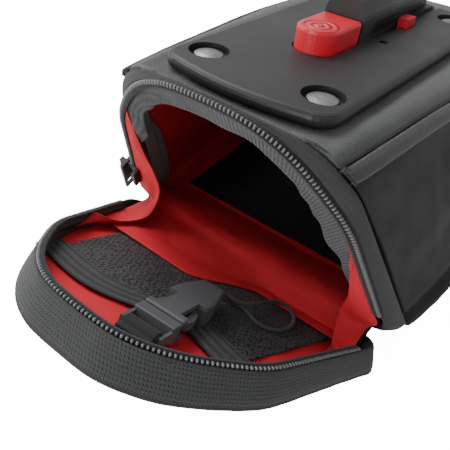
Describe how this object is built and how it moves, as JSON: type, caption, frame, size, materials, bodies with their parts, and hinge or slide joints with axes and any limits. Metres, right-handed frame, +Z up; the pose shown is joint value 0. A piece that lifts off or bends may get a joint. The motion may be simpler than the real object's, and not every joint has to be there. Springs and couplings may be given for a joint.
{
  "type": "saddle bag",
  "caption": "Wedge-shaped bicycle saddle bag with a quick-release top plate, a zipped drop-down rear flap with gussets, and a buckled key holder inside the flap.",
  "frame": {"origin": "centre of the flat underside that the bag stands on, on its middle plane", "axes": "+Z up; +Y from the mouth to the nose; the mouth and its flap face -Y; +X across the bag, to the right seen from the mouth"},
  "size_m": [0.1268, 0.242, 0.0929],
  "materials": {
    "top_fabric": "grey woven fabric",
    "side_fabric": "black ripstop nylon",
    "collar_fabric": "dark grey honeycomb fabric",
    "red_lining": "red lining fabric",
    "black_mesh": "coarse black mesh",
    "black_webbing": "ribbed black webbing",
    "zip_tape": "grey zip tape",
    "zip_chain": "black coil",
    "dark_plastic": "dark grey satin plastic",
    "red_plastic": "red satin plastic",
    "satin_metal": "satin metal",
    "black_cord": "thin black cord"
  },
  "bodies": {
    "bag": {"top_panel": "top_fabric", "bottom_panel": "side_fabric", "side_panel_left": "side_fabric", "side_panel_right": "side_fabric", "nose_panel": "side_fabric", "mouth_collar": "collar_fabric", "piping_left": "collar_fabric", "piping_right": "collar_fabric", "body_lining": "red_lining", "inner_pocket": "black_mesh", "zip_chain_mouth": "zip_chain", "zip_tape_mouth": "zip_tape", "hinge_strip": "collar_fabric", "gusset_left": "red_lining", "gusset_right": "red_lining", "adapter_plate": "dark_plastic", "rivet_front_left": "satin_metal", "rivet_front_right": "satin_metal", "rivet_rear_left": "satin_metal", "rivet_rear_right": "satin_metal"},
    "flap": {"flap_band": "collar_fabric", "flap_panel": "top_fabric", "flap_lining": "red_lining", "mesh_pocket": "black_mesh", "pocket_elastic": "black_webbing", "zip_chain_flap": "zip_chain", "zip_tape_flap": "zip_tape", "key_webbing": "black_webbing"},
    "slider": {"zip_slider": "satin_metal"},
    "pull": {"zip_pull": "satin_metal"},
    "button": {"release_button": "red_plastic", "release_latch": "red_plastic"},
    "buckle": {"buckle_male": "dark_plastic"},
    "prong_left": {"buckle_prong_left": "dark_plastic"},
    "prong_right": {"buckle_prong_right": "dark_plastic"},
    "catch": {"buckle_female": "dark_plastic", "key_cord": "black_cord"}
  },
  "joints": [
    {"name": "flap_hinge", "type": "hinge", "parent": "bag", "child": "flap", "pos_m": [0, -0.07, 0.012], "axis": [-1, 0, 0], "range_deg": [0, 39.5], "deforming": ["gusset_left", "gusset_right"]},
    {"name": "zip_slide", "type": "slide", "parent": "bag", "child": "slider", "axis": [0.2641, -0.2594, 0.929], "range_m": [0, 0.026]},
    {"name": "zip_pull_swing", "type": "hinge", "parent": "slider", "child": "pull", "pos_m": [-0.0542, -0.07581, 0.03281], "axis": [0, 0.9632, 0.2689], "range_deg": [0, 110]},
    {"name": "button_press", "type": "slide", "parent": "bag", "child": "button", "axis": [0, -0.165, -0.9863], "range_m": [0, 0.0014], "stiffness_N_per_m": 400},
    {"name": "buckle_swing", "type": "hinge", "parent": "flap", "child": "buckle", "pos_m": [0.0132, -0.13147, 0.05235], "axis": [0.9948, 0.0839, -0.0583], "range_deg": [0, 50]},
    {"name": "prong_left_squeeze", "type": "hinge", "parent": "buckle", "child": "prong_left", "pos_m": [0.00913, -0.12463, 0.04759], "axis": [0, -0.5707, -0.8211], "range_deg": [0, 7], "stiffness_Nm_per_rad": 0.1},
    {"name": "prong_right_squeeze", "type": "hinge", "parent": "buckle", "child": "prong_right", "pos_m": [0.01549, -0.12409, 0.04722], "axis": [0, 0.5707, 0.8211], "range_deg": [0, 7], "stiffness_Nm_per_rad": 0.1},
    {"name": "buckle_release", "type": "slide", "parent": "buckle", "child": "catch", "axis": [-0.1022, 0.8169, -0.5677], "range_m": [0, 0.014], "deforming": ["key_cord"]}
  ]
}
